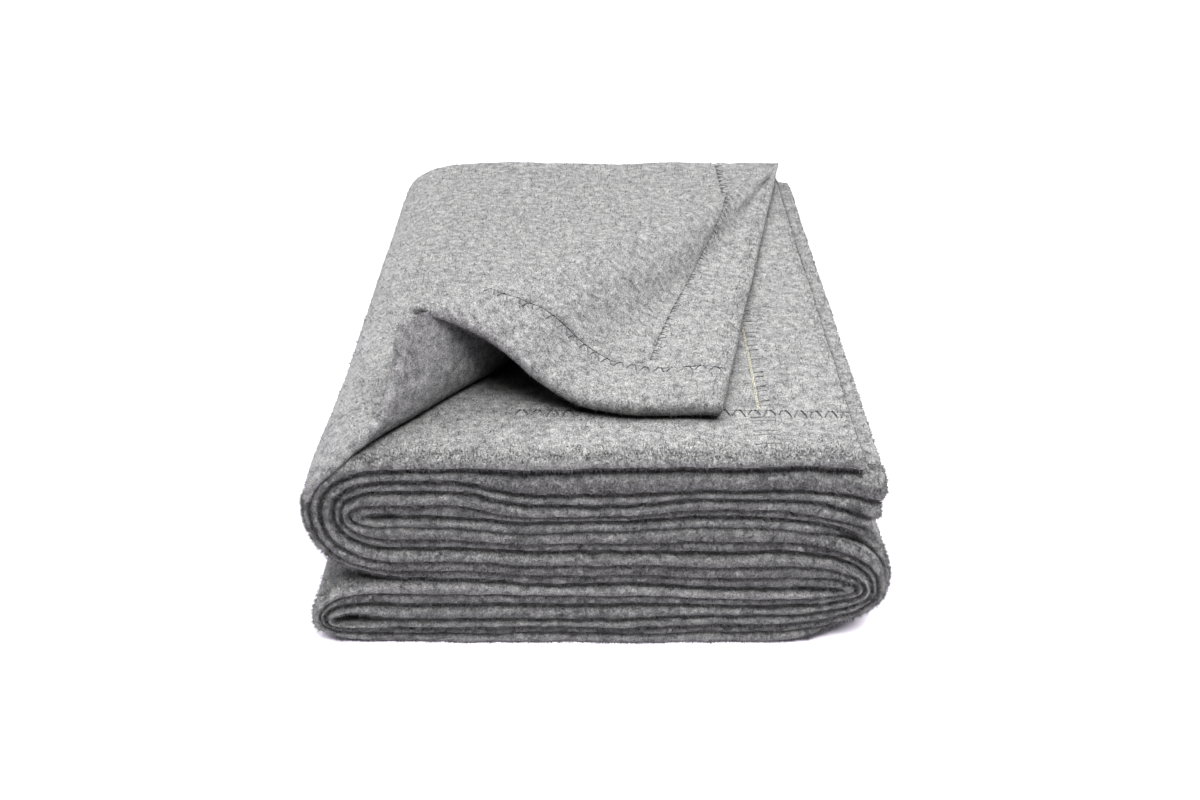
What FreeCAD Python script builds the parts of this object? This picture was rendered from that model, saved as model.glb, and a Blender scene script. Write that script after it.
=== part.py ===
import FreeCAD, Part
import math
import os

# Folded fleece throw, lying flat. Millimetres, +Z up, +Y to the back, origin under the middle of the
# stack. The cloth is folded to six layers and those six are folded in thirds: a lower, a middle and an
# upper packet of six plies each. The top leaf's front right half is lifted into a low arch.

# Driving sizes
PLY_PITCH = 7.6          # height that one layer of hemmed fleece takes up in the stack
PLY_GAP = 0.3            # air between two layers
PACKET_PLIES = 6         # layers in each packet
STACK_DEPTH = 510.0      # front edge to back fold
STACK_WIDTH = 340.0      # over the outside of the folds
BEND_STEP = 6.0          # how far each nested bend stands out past the one inside it
LOWER_BEND_STEP = 7.6    # the same in the lower left fold, which nests fewer layers
LOWER_BEND_INSET = 1.0   # how far the lower left fold stays inside the upper one
EDGE_RADIUS = 2.5        # rounding of a ply's front and back edges
FREE_END_INSETS = [14.0, 0.5, 2.0, 7.0, 10.0]   # free hemmed ends of plies b to f, in from the widest
TOP_LEAF_INSET = 10.0    # right edge of the top leaf, in from the widest
HEM_WIDTH = 57.0         # turned hem, from the edge to its row of stitches
THREAD_WIDTH = 1.2       # width of a row of stitches
THREAD_HEIGHT = 0.5      # height of a row of stitches over the cloth
HEM_EASE = 4.0           # row of stitches to the flat half of the top leaf

# Lifted half of the top leaf: a cone of cloth with its tip at the back right corner. Angles are in
# plan, at the tip, in degrees, and a setback is how far a ray's end lies behind the front edge.
LIFT_LINE_INSET = 20.0   # where the lift line meets the front edge, in from the widest
FLAP_THICKNESS = 5.0     # cloth thickness at the front edge, less towards the tip
RIDGE_LEAN = 1.5         # angle from the lift line to the ridge
RIDGE_HEIGHT = 70.0      # front end of the ridge over the top leaf
RIDGE_SETBACK = 50.0     # front end of the ridge
RIDGE_MITRE = 0.7        # inside of the ridge, as a share of the cloth's thickness across and down
SLOPE_TURN = 10.5        # angle from the ridge to the line where the leaf comes down again
SLOPE_SETBACK = 72.0     # front end of that line
TOE_TURN = 9.25          # angle of the part that lies on the second leaf, out to the right edge
TOE_SETBACK = 62.0       # corner of the leaf
TOE_CLEARANCE = 1.0      # toe above the layer that it lies on, clear of the stitches

# Worked out from the sizes above
PLY_THICKNESS = PLY_PITCH - PLY_GAP
HALF_DEPTH = STACK_DEPTH / 2
HALF_WIDTH = STACK_WIDTH / 2
FOLD_X = HALF_WIDTH - PACKET_PLIES * BEND_STEP
LOWER_NEST = PACKET_PLIES // 2
LOWER_FOLD_X = HALF_WIDTH - LOWER_BEND_INSET - LOWER_NEST * LOWER_BEND_STEP
LOWER_FOLD_Z = LOWER_NEST * PLY_PITCH - PLY_GAP / 2
RIGHT_FOLD_Z = PACKET_PLIES * PLY_PITCH - PLY_GAP / 2
LEFT_FOLD_Z = 2 * PACKET_PLIES * PLY_PITCH - PLY_GAP / 2
TOP_LEAF_TOP = 3 * PACKET_PLIES * PLY_PITCH - PLY_GAP
SECOND_LEAF_TOP = TOP_LEAF_TOP - PLY_PITCH
TOP_LEAF_RIGHT = HALF_WIDTH - TOP_LEAF_INSET
LIFT_LINE_RUN = TOP_LEAF_RIGHT + HALF_WIDTH - LIFT_LINE_INSET   # across the stack, over its full depth
PLY_LETTERS = "abcdef"


def save(shape, node):
    """Write one sub-part to its own STEP file."""
    if not shape.isValid():
        raise ValueError(node + " is not a valid shape")
    shape.exportStep("parts/" + node + ".step")


def ply(x_low, x_high, z_low):
    """One flat layer of hemmed fleece, with its front and back edges rounded."""
    size = (x_high - x_low, STACK_DEPTH, PLY_THICKNESS)
    corner = FreeCAD.Vector(x_low, -HALF_DEPTH, z_low)
    block = Part.makeBox(*size, corner)
    long_edges = [e for e in block.Edges if abs(e.Length - size[0]) < 1e-6 and abs(e.tangentAt(0).x) > 0.9]
    return block.makeFillet(EDGE_RADIUS, long_edges)


def half_disc(centre, reach, height, side):
    """A solid half cylinder with an elliptical section, its flat side on the fold line."""
    points = [FreeCAD.Vector(centre[0], -HALF_DEPTH, centre[1] + height * s) for s in (-1, 1)]
    tip = FreeCAD.Vector(centre[0] + side * reach, -HALF_DEPTH, centre[1])
    if abs(reach - height) < 1e-9:
        curve = Part.Arc(points[0], tip, points[1]).toShape()
    else:
        spread = FreeCAD.Matrix()
        spread.scale(reach / height, 1, 1)
        unit = Part.Arc(FreeCAD.Vector(0, 0, -height), FreeCAD.Vector(side * height, 0, 0),
                        FreeCAD.Vector(0, 0, height)).toShape()
        curve = unit.transformGeometry(spread)
        curve.translate(FreeCAD.Vector(centre[0], -HALF_DEPTH, centre[1]))
    chord = Part.makeLine(points[1], points[0])
    return Part.Face(Part.Wire([curve, chord])).extrude(FreeCAD.Vector(0, STACK_DEPTH, 0))


def bend(centre, order, step, side):
    """One nested bend of a fold: the layer that turns round the fold line, order 1 innermost."""
    outer = half_disc(centre, order * step, order * PLY_PITCH - PLY_GAP / 2, side)
    if order == 1:
        inner = half_disc(centre, PLY_GAP, PLY_GAP / 2, side)
    else:
        inner = half_disc(centre, (order - 1) * step + PLY_GAP, (order - 1) * PLY_PITCH + PLY_GAP / 2, side)
    return outer.cut(inner)


def ray_end(turn, setback, height):
    """Where a ray from the tip ends, as seen from the tip."""
    back = STACK_DEPTH - setback
    return FreeCAD.Vector(-back * math.tan(math.radians(turn)), -back, height)


def flap_rays():
    """The four rays that bound the panels of the lifted leaf: lift line, ridge, slope's foot, right edge."""
    lift_turn = math.degrees(math.atan2(LIFT_LINE_RUN, STACK_DEPTH))
    ridge_turn = lift_turn - RIDGE_LEAN
    foot_turn = ridge_turn - SLOPE_TURN
    foot_height = SECOND_LEAF_TOP + TOE_CLEARANCE + FLAP_THICKNESS - TOP_LEAF_TOP - PLY_GAP
    return [ray_end(lift_turn, FLAP_THICKNESS, 0), ray_end(ridge_turn, RIDGE_SETBACK, RIDGE_HEIGHT),
            ray_end(foot_turn, SLOPE_SETBACK, foot_height),
            ray_end(foot_turn - TOE_TURN, TOE_SETBACK, foot_height)]


def cone_panel(tip, upper, lower):
    """A flat wedge of cloth between two rays, thickest at the front edge and ending at the tip."""
    rim = [tip + upper[0], tip + upper[1], tip + lower[1], tip + lower[0]]
    faces = [Part.Face(Part.makePolygon([tip, rim[i], rim[(i + 1) % 4], tip])) for i in range(4)]
    faces.append(Part.Face(Part.makePolygon([rim[0], rim[1], rim[2], rim[0]])))
    faces.append(Part.Face(Part.makePolygon([rim[0], rim[2], rim[3], rim[0]])))
    solid = Part.Solid(Part.Shell(faces))
    if solid.Volume < 0:
        solid.reverse()
    return solid


def make_packets():
    """The plies of the three packets, lowest first."""
    for number, letter in enumerate(reversed(PLY_LETTERS)):
        save(ply(-LOWER_FOLD_X, FOLD_X, number * PLY_PITCH), "lower_ply_" + letter)
    for number, letter in enumerate(PLY_LETTERS):
        z_low = (PACKET_PLIES + number) * PLY_PITCH
        save(ply(-FOLD_X, FOLD_X - PLY_GAP, z_low), "middle_ply_" + letter)
    for inset, letter in zip(FREE_END_INSETS, PLY_LETTERS[1:]):
        number = PACKET_PLIES - 1 - PLY_LETTERS.index(letter)
        z_low = (2 * PACKET_PLIES + number) * PLY_PITCH
        save(ply(-FOLD_X + PLY_GAP, HALF_WIDTH - inset, z_low), "upper_ply_" + letter)


def make_folds():
    """The nested bends at the ends of the packets."""
    for order in range(1, PACKET_PLIES + 1):
        save(bend((FOLD_X, RIGHT_FOLD_Z), order, BEND_STEP, 1), "right_fold_bend_%d" % order)
        save(bend((-FOLD_X, LEFT_FOLD_Z), order, BEND_STEP, -1), "left_fold_bend_%d" % order)
    for order in range(1, LOWER_NEST + 1):
        save(bend((-LOWER_FOLD_X, LOWER_FOLD_Z), order, LOWER_BEND_STEP, -1), "lower_fold_bend_%d" % order)


def lift_line_y(x):
    """Where the lift line is from front to back, at a place across the stack."""
    return HALF_DEPTH - (TOP_LEAF_RIGHT - x) * STACK_DEPTH / LIFT_LINE_RUN


def lift_line_x(y):
    """Where the lift line is across the stack, at a place from front to back."""
    return TOP_LEAF_RIGHT - (HALF_DEPTH - y) * LIFT_LINE_RUN / STACK_DEPTH


def make_top_leaf():
    """The half of the top leaf that lies flat, and the three panels of the half that is lifted."""
    start = -FOLD_X + PLY_GAP
    corners = [(start, lift_line_y(start)), (TOP_LEAF_RIGHT, HALF_DEPTH), (start, HALF_DEPTH)]
    outline = [FreeCAD.Vector(x, y, TOP_LEAF_TOP - PLY_THICKNESS) for x, y in corners]
    flat = Part.Face(Part.makePolygon(outline + outline[:1])).extrude(FreeCAD.Vector(0, 0, PLY_THICKNESS))
    save(flat, "top_leaf_flat")

    base, ridge, foot, edge = flap_rays()
    across = FreeCAD.Vector(-base.y, base.x, 0).normalize()
    down = FreeCAD.Vector(0, 0, -FLAP_THICKNESS)
    clear_base = base + across * PLY_GAP
    upper = [clear_base, ridge, foot, edge]
    lower = [clear_base + across * FLAP_THICKNESS, ridge + (across * FLAP_THICKNESS + down) * RIDGE_MITRE,
             foot + down, edge + down]
    tip = FreeCAD.Vector(TOP_LEAF_RIGHT, HALF_DEPTH, TOP_LEAF_TOP + PLY_GAP)
    for index, node in enumerate(("flap_wall", "flap_slope", "flap_toe")):
        save(cone_panel(tip, upper[index:index + 2], lower[index:index + 2]), node)


def make_stitch_rows():
    """Rows of stitches that hold the front and the right hem of the second leaf."""
    corner_x = HALF_WIDTH - FREE_END_INSETS[0] - HEM_WIDTH
    corner_y = -HALF_DEPTH + HEM_WIDTH
    start_x = lift_line_x(corner_y) + HEM_EASE
    size = (corner_x + THREAD_WIDTH - start_x, THREAD_WIDTH, THREAD_HEIGHT)
    save(Part.makeBox(*size, FreeCAD.Vector(start_x, corner_y, SECOND_LEAF_TOP)), "front_hem_stitches")
    start_y = corner_y + THREAD_WIDTH
    size = (THREAD_WIDTH, lift_line_y(corner_x) - HEM_EASE - start_y, THREAD_HEIGHT)
    save(Part.makeBox(*size, FreeCAD.Vector(corner_x, start_y, SECOND_LEAF_TOP)), "right_hem_stitches")


os.makedirs("parts", exist_ok=True)
make_packets()
make_folds()
make_top_leaf()
make_stitch_rows()
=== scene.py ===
"""Folded grey fleece throw: a stack of 18 layers with stitched hems and a lifted corner."""

import logging
import math
from collections.abc import Callable
from dataclasses import dataclass, field
from enum import Enum

import bpy
import numpy as np
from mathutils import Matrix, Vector
from numpy.typing import NDArray


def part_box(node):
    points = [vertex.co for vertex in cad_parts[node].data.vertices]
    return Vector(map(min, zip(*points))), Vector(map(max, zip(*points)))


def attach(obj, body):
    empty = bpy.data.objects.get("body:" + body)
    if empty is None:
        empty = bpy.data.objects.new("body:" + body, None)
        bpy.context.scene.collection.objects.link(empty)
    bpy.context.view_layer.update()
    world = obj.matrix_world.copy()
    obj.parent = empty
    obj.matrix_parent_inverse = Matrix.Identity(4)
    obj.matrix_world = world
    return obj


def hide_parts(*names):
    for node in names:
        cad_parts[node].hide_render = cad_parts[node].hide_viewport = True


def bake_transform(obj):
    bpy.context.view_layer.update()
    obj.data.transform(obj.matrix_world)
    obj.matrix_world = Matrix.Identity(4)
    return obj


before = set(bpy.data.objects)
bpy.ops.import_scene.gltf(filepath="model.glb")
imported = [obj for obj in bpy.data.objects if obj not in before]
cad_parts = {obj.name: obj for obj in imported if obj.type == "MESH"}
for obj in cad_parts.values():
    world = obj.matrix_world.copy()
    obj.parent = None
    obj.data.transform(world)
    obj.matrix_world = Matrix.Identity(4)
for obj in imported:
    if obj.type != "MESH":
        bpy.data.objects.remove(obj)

Array = NDArray[np.float64]
LOG = logging.getLogger("throw")
MM = 0.001
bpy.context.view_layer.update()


def corner(node: str, end: int) -> Array:
    """The lowest (0) or highest (1) corner of a CAD node, in metres."""
    return np.array(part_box(node)[end], float)


# Sizes read from the frame
PITCH = float(corner("upper_ply_b", 1)[2] - corner("upper_ply_c", 1)[2])
HALF_DEPTH = float(corner("lower_ply_a", 1)[1])
SECOND_TOP = float(corner("upper_ply_b", 1)[2])
LEAF_TOP = SECOND_TOP + PITCH
LEAF_RIGHT = float(corner("top_leaf_flat", 1)[0])
HEM = float(corner("front_hem_stitches", 0)[1] + HALF_DEPTH)


class Body(str, Enum):
    """The rigid bodies of the frame."""

    LOWER = "lower_packet"
    MIDDLE = "middle_packet"
    UPPER = "upper_packet"
    FLAP = "corner_flap"


# ---------------------------------------------------------------- small tools


def ripple(seed: int, wavelength: float, *axes: Array, waves: int = 7) -> Array:
    """Smooth random field between about -1 and 1.

    The sum of a few plane waves with random directions and phases and about one wavelength.

    Args:
        seed: Which field.
        wavelength: Typical distance between two crests, in metres.
        axes: Coordinates, all of one shape.
        waves: How many waves are added up.

    Returns:
        The field at each point.
    """
    rng = np.random.default_rng(seed)
    total = np.zeros(np.broadcast_shapes(*[np.shape(a) for a in axes]))
    for _ in range(waves):
        direction = rng.normal(size=len(axes))
        direction *= rng.uniform(0.7, 1.4) / np.linalg.norm(direction)
        phase = rng.uniform(0, 2 * math.pi)
        along = sum(d * a for d, a in zip(direction, axes))
        total = total + np.sin(2 * math.pi * along / wavelength + phase)
    return total / math.sqrt(waves) / 1.4


def smooth(low: float, high: float, value: Array) -> Array:
    """Smoothstep of value from 0 at low to 1 at high."""
    t = np.clip((np.asarray(value, float) - low) / (high - low), 0, 1)
    return t * t * (3 - 2 * t)


def graded(low: float, high: float, step: float, fine: float, spots: tuple[float, ...] = (),
           reach: float = 0.008) -> Array:
    """Grid lines from low to high that are close together at both ends and at some spots.

    Args:
        low: First line.
        high: Last line.
        step: Distance between lines elsewhere.
        fine: Distance between lines near the spots.
        spots: Places that need fine lines.
        reach: How far the fine lines go on each side of a spot.

    Returns:
        Increasing positions.
    """
    lines = [np.arange(low, high, step), np.array([high])]
    for spot in spots:
        lines.append(np.arange(max(low, spot - reach), min(high, spot + reach), fine))
    joined = np.unique(np.round(np.concatenate(lines), 6))
    keep = np.concatenate([[True], np.diff(joined) > 0.4 * fine])
    keep[-1] = True
    return joined[keep]


def link(name: str, points: Array, faces: list[tuple[int, ...]] | Array,
         flat_faces: int = 0) -> bpy.types.Object:
    """Makes a smooth shaded mesh object.

    Args:
        name: Name of the piece.
        points: N x 3 vertices.
        faces: Faces, as vertex numbers.
        flat_faces: How many of the last faces are end caps, shaded flat.

    Returns:
        The new object, at the origin.
    """
    mesh = bpy.data.meshes.new(name)
    mesh.from_pydata(points.tolist(), [], [tuple(f) for f in faces])
    shade = np.ones(len(mesh.polygons), bool)
    if flat_faces:
        shade[-flat_faces:] = False
    mesh.polygons.foreach_set("use_smooth", shade)
    mesh.update()
    piece = bpy.data.objects.new(name, mesh)
    bpy.context.collection.objects.link(piece)
    return piece


def quads(rows: int, columns: int, wrap: bool, offset: int = 0) -> Array:
    """Faces of a grid of points, row by row; wrap joins the last column to the first."""
    i, j = np.meshgrid(np.arange(rows - 1), np.arange(columns if wrap else columns - 1), indexing="ij")
    k = (j + 1) % columns
    return np.stack([i * columns + j, (i + 1) * columns + j, (i + 1) * columns + k, i * columns + k],
                    axis=-1).reshape(-1, 4) + offset


# ---------------------------------------------------------------- materials


def linear(code: str) -> tuple[float, float, float, float]:
    """Turns an sRGB hex colour to linear RGBA."""
    parts = [int(code[i:i + 2], 16) / 255 for i in (1, 3, 5)]
    return tuple(c / 12.92 if c <= 0.04045 else ((c + 0.055) / 1.055) ** 2.4 for c in parts) + (1.0,)


def add_node(tree: bpy.types.NodeTree, kind: str, links: dict | None = None,
             **settings: object) -> bpy.types.Node:
    """Adds a node.

    Args:
        tree: Node tree of the material.
        kind: Node type.
        links: Input name or number to an output socket or a plain value.
        settings: Node properties.

    Returns:
        The node.
    """
    node = tree.nodes.new(kind)
    for key, value in settings.items():
        setattr(node, key, value)
    for key, value in (links or {}).items():
        if isinstance(value, bpy.types.NodeSocket):
            tree.links.new(value, node.inputs[key])
        else:
            node.inputs[key].default_value = value
    return node


def set_ramp(node: bpy.types.Node, stops: list[tuple[float, str]]) -> None:
    """Gives a colour ramp its stops, each a place and a hex colour."""
    elements = node.color_ramp.elements
    while len(elements) < len(stops):
        elements.new(0.5)
    for element, (place, code) in zip(elements, stops):
        element.position = place
        element.color = linear(code)


def new_material(name: str) -> tuple[bpy.types.Material, bpy.types.NodeTree, bpy.types.Node]:
    """Makes a material with its node tree, and returns both and its shader."""
    material = bpy.data.materials.new(name)
    material.use_nodes = True
    return material, material.node_tree, material.node_tree.nodes["Principled BSDF"]


@dataclass(frozen=True)
class Fleece:
    """Brushed polyester fleece in grey melange: dark, mid and pale fibres are mixed before knitting,
    so the pile is flecked all over, and its raised ends catch light at grazing angles."""

    name: str = "brushed_melange_fleece"
    dark: str = "#464648"
    middle: str = "#808080"
    pale: str = "#a8a8a6"
    fleck: float = 0.9 * MM      # length of one fleck of fibres
    clump: float = 5.0 * MM      # patch of pile brushed one way
    relief: float = 0.8 * MM     # depth of the pile's surface
    stretch: float = 0.62        # flecks are longer from front to back, the way the cloth was brushed
    patchy: float = 0.3          # share of the clumps in the colour

    def make(self) -> bpy.types.Material:
        """Builds the material."""
        material, tree, shader = new_material(self.name)
        place = add_node(tree, "ShaderNodeTexCoord").outputs["Object"]
        drift = add_node(tree, "ShaderNodeTexNoise",
                         {"Vector": place, "Scale": 1 / self.clump, "Detail": 2.0})
        lay = add_node(tree, "ShaderNodeMapping", {"Vector": place, "Scale": (1.0, self.stretch, 1.0)})
        flecks = add_node(tree, "ShaderNodeTexNoise",
                          {"Vector": lay.outputs[0], "Scale": 1 / self.fleck, "Detail": 4.0,
                           "Roughness": 0.62, "Distortion": 0.9})
        both = add_node(tree, "ShaderNodeMix",
                        {0: self.patchy, "A": flecks.outputs[0], "B": drift.outputs[0]}, data_type="FLOAT")
        ramp = add_node(tree, "ShaderNodeValToRGB", {0: both.outputs[0]})
        set_ramp(ramp, [(0.34, self.dark), (0.5, self.middle), (0.66, self.pale)])
        bump = add_node(tree, "ShaderNodeBump", {"Height": both.outputs[0], "Distance": self.relief,
                                                 "Strength": 0.9})
        tree.links.new(ramp.outputs[0], shader.inputs["Base Color"])
        tree.links.new(bump.outputs[0], shader.inputs["Normal"])
        shader.inputs["Roughness"].default_value = 0.95
        shader.inputs["Specular IOR Level"].default_value = 0.2
        shader.inputs["Sheen Weight"].default_value = 0.25
        shader.inputs["Sheen Roughness"].default_value = 0.6
        return material


@dataclass(frozen=True)
class Thread:
    """Spun polyester sewing thread: two plies twisted together, a little shinier than the pile."""

    name: str
    colour: str
    shade: str
    twist: float = 1.2 * MM      # length of one turn of the plies

    def make(self) -> bpy.types.Material:
        """Builds the material."""
        material, tree, shader = new_material(self.name)
        place = add_node(tree, "ShaderNodeTexCoord").outputs["Object"]
        turns = add_node(tree, "ShaderNodeTexNoise",
                         {"Vector": place, "Scale": 1 / self.twist, "Detail": 2.0})
        ramp = add_node(tree, "ShaderNodeValToRGB", {0: turns.outputs[0]})
        set_ramp(ramp, [(0.4, self.shade), (0.62, self.colour)])
        bump = add_node(tree, "ShaderNodeBump", {"Height": turns.outputs[0], "Distance": 0.2 * MM})
        tree.links.new(ramp.outputs[0], shader.inputs["Base Color"])
        tree.links.new(bump.outputs[0], shader.inputs["Normal"])
        shader.inputs["Roughness"].default_value = 0.6
        return material


@dataclass(frozen=True)
class Studio:
    """Plain matt paper sweep that the stack lies on."""

    colour: str = "#f5f1f9"

    def make(self) -> bpy.types.Material:
        """Builds the material."""
        material, _, shader = new_material("matt_paper")
        shader.inputs["Base Color"].default_value = linear(self.colour)
        shader.inputs["Roughness"].default_value = 1.0
        return material


# ---------------------------------------------------------------- the stack's section

LEFT_CUT = -92 * MM     # where flat layers meet the upper left fold
RIGHT_CUT = 68 * MM     # where flat layers meet the right fold
SIDE_GAP = 0.12 * MM    # air on each side of a layer, so that no two layers touch

# Height of each side between two layers, from the floor up, in mm: at the left folds, in the middle
# of the front, and at the right fold
LEFT_LEVELS = (0, 5.9, 11.7, 17.6, 26.9, 36.3, 45.6, 53.2, 60.8, 68.4, 76.0, 83.6, 91.2, 98.8, 106.4, 114.0,
               121.6, 129.2, 136.8)
FRONT_LEVELS = (0, 6.2, 11.8, 17.4, 27.4, 35.6, 42.6, 50.6, 58.6, 66.4, 73.4, 80.4, 87.2, 92.4, 98.2, 105.6,
                122.2, 129.2, 136.8)
RIGHT_LEVELS = (0, 6.6, 13.2, 19.8, 26.3, 32.9, 39.5, 48.1, 56.7, 65.3, 74.0, 82.6, 91.2, 96.6, 101.6, 107.6,
                121.8, 129.2, 136.8)

# How deep the valley between two front edges is at each of those sides, in mm
VALLEYS = (3.0, 3.0, 6.5, 6.0, 8.0, 2.6, 10.0, 3.2, 4.0, 9.0, 3.2, 3.0, 8.5, 3.2, 8.0, 9.0, 11.0, 5.0, 4.0)

# How far each layer's front edge lies back, in mm
SETBACKS = (0.5, 2.0, 0.0, 1.0, 2.5, 1.0, 3.0, 1.5, 0.0, 3.0, 1.0, 2.0, 3.5, 2.0, 3.0, 1.0, 0.0, 0.0)


def mixed(values: tuple[float, ...], first: int, last: int, share: Array) -> Array:
    """Goes smoothly from one entry of a table to another, in metres."""
    t = smooth(0, 1, share)
    return MM * (values[first] * (1 - t) + values[last] * t)


def level(number: int, x: Array) -> Array:
    """Height of the side between two flat layers, number 0 being the underside of the stack.

    Its heights at the left folds, in the middle and at the right fold, joined smoothly, plus some
    waviness. In the upper packet the layers droop towards the right, where their free ends follow
    the fold below them.
    """
    x = np.asarray(x, float)
    to_left = 1 - smooth(LEFT_CUT, -40 * MM, x)
    to_right = smooth(10 * MM, RIGHT_CUT, x)
    height = (FRONT_LEVELS[number] * (1 - to_left - to_right) + LEFT_LEVELS[number] * to_left
              + RIGHT_LEVELS[number] * to_right) * MM
    calm = smooth(LEFT_CUT, LEFT_CUT + 20 * MM, x)
    if number > 12:
        fall = {13: 0.75, 14: 0.55, 15: 0.3, 16: 0.12, 17: 0.05}.get(number, 0.0)
    else:
        fall = 0.95 if number == 12 else 0.0
        calm = calm * (1 - smooth(RIGHT_CUT - 20 * MM, RIGHT_CUT, x))
    if number in (0, 17, 18):
        calm = calm * 0
    wave = 0.5 * ripple(40 + number, 0.12, x) + 0.3 * ripple(60 + number, 0.022, x)
    under = RIGHT_FOLD.up * 6 - RIGHT_FOLD.height_over(6, np.minimum(x, 168 * MM))
    return height + MM * wave * calm - fall * under


@dataclass(frozen=True)
class Fold:
    """A place where nested layers turn back, seen in section.

    The side between two layers is half of a squared ellipse. Number 0 is the inside of the innermost
    layer.
    """

    number: int                   # side of the stack where the fold line is
    side: int                     # 1 to the right, -1 to the left
    levels: tuple[float, ...]     # heights of the stack's sides there, in mm
    reach: tuple[float, ...]      # how far each side reaches, in mm from the stack's middle
    length: tuple[float, ...]     # over which length each one turns, in mm
    hollow: float = 0.4 * MM      # half the height of number 0
    taper: float = 10 * MM        # over which length the hollow closes
    square: float = 0.88          # 1 gives an ellipse, less a squarer turn

    @property
    def z(self) -> float:
        """Height of the fold line."""
        return self.levels[self.number] * MM

    @property
    def up(self) -> float:
        """Thickness of a layer above the fold line."""
        return (self.levels[self.number + 1] - self.levels[self.number]) * MM

    @property
    def down(self) -> float:
        """Thickness of a layer below the fold line."""
        return (self.levels[self.number] - self.levels[self.number - 1]) * MM

    def start(self, number: int) -> float:
        """Where a side starts to turn."""
        return self.side * (self.reach[number] - self.length[number]) * MM

    def boundary(self, number: int, turn: Array) -> Array:
        """Points of one side, x and z, as turn goes from 0 at the top to pi at the bottom."""
        above = (self.levels[self.number + number] - self.levels[self.number]) * MM
        below = (self.levels[self.number] - self.levels[self.number - number]) * MM
        height = np.maximum(np.where(np.cos(turn) > 0, above, below), self.hollow)
        across = np.sin(turn) ** self.square
        upward = np.sign(np.cos(turn)) * np.abs(np.cos(turn)) ** self.square
        return np.stack([self.start(number) + self.side * self.length[number] * MM * across,
                         self.z + height * upward], axis=-1)

    def height_over(self, number: int, x: Array) -> Array:
        """Height of a side over the fold line, at x."""
        out = np.clip((self.side * (x - self.start(number))) / (self.length[number] * MM), 0, 1)
        above = (self.levels[self.number + number] - self.levels[self.number]) * MM
        return above * (1 - out ** (2 / self.square)) ** (self.square / 2)


UPPER_FOLD = Fold(12, -1, LEFT_LEVELS, (134, 146, 151, 156, 163, 169, 174), (9, 21, 31, 40, 50, 61, 76),
                  1.6 * MM, square=0.82)
RIGHT_FOLD = Fold(6, 1, RIGHT_LEVELS, (148, 157, 163, 167, 171, 176, 180), (20, 44, 56, 67, 78, 89, 102),
                  0.6 * MM)
LOWER_FOLD = Fold(3, -1, LEFT_LEVELS, (163, 168, 172, 177), (8, 24, 38, 56), 3.4 * MM, 26 * MM)


@dataclass
class Path:
    """A layer in section: its inner and outer side, and what its front edge does along them."""

    inner: Array          # N x 2 points, x and z
    outer: Array
    inner_cut: Array      # depth of the valley beside the front edge, on each side
    outer_cut: Array
    setback: Array        # how far the front edge lies back

    def part(self, keep: slice) -> "Path":
        """Some of the path's points."""
        return Path(self.inner[keep], self.outer[keep], self.inner_cut[keep], self.outer_cut[keep],
                    self.setback[keep])

    def reversed(self) -> "Path":
        """The same path, run the other way."""
        return self.part(slice(None, None, -1))

    def flipped(self) -> "Path":
        """The same path with its inner and outer side swapped."""
        return Path(self.outer, self.inner, self.outer_cut, self.inner_cut, self.setback)

    def followed_by(self, other: "Path") -> "Path":
        """This path and one that starts where it ends."""
        rest = other.part(slice(1, None))
        return Path(*(np.concatenate([getattr(self, key), getattr(rest, key)])
                      for key in ("inner", "outer", "inner_cut", "outer_cut", "setback")))


def flat_path(low: int, x: Array) -> Path:
    """A flat layer that lies on side number low."""
    whole = np.ones_like(x)
    return Path(np.stack([x, level(low, x)], axis=-1), np.stack([x, level(low + 1, x)], axis=-1),
                whole * VALLEYS[low] * MM, whole * VALLEYS[low + 1] * MM, whole * SETBACKS[low] * MM)


def fold_path(fold: Fold, order: int, above_from: float, below_to: float) -> Path:
    """One turn, with a flat stretch before and after it.

    Args:
        fold: The fold.
        order: 1 for the innermost layer.
        above_from: Where the flat stretch above starts.
        below_to: Where the flat stretch below ends.

    Returns:
        The layer.
    """
    turn = np.linspace(0, math.pi, 64)[1:-1]
    count = max(12, round(abs(fold.start(order) - above_from) / (3.2 * MM)))
    lines, cuts = [], []
    for side in (order - 1, order):
        first = np.linspace(above_from, fold.start(side), count)
        last = np.linspace(fold.start(side), below_to, count)
        above = np.stack([first, level(fold.number + side, first)], axis=-1)
        below = np.stack([last, level(fold.number - side, last)], axis=-1)
        if side == 0:
            open_above = smooth(fold.start(0) - fold.side * fold.taper, fold.start(0), first)
            open_below = smooth(fold.start(0) - fold.side * fold.taper, fold.start(0), last)
            above[:, 1] += fold.hollow * open_above
            below[:, 1] -= fold.hollow * open_below
        lines.append(np.concatenate([above, fold.boundary(side, turn), below]))
        share = np.concatenate([np.zeros(len(first)), turn / math.pi, np.ones(len(last))])
        cuts.append(mixed(VALLEYS, fold.number + side, fold.number - side, share))
    back = mixed(SETBACKS, fold.number + order - 1, fold.number - order, share)
    in_turn = np.sin(math.pi * share) ** 2
    full = lines[1] - lines[0]
    size = np.linalg.norm(full, axis=1)[:, None] + 1e-9
    # the second layer stands further off the innermost one, where the turn is tightest
    gap = np.minimum(((1.6 if order == 2 else 0.3) * MM * in_turn)[:, None], 0.35 * size)
    if fold is RIGHT_FOLD and order == 6:
        # the outermost layer's front edge slants back round the turn
        back = back + 10 * MM * smooth(120 * MM, 168 * MM, lines[1][:, 0])
    return Path(lines[0] + full / size * gap, lines[1], cuts[0], cuts[1], back)


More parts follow.
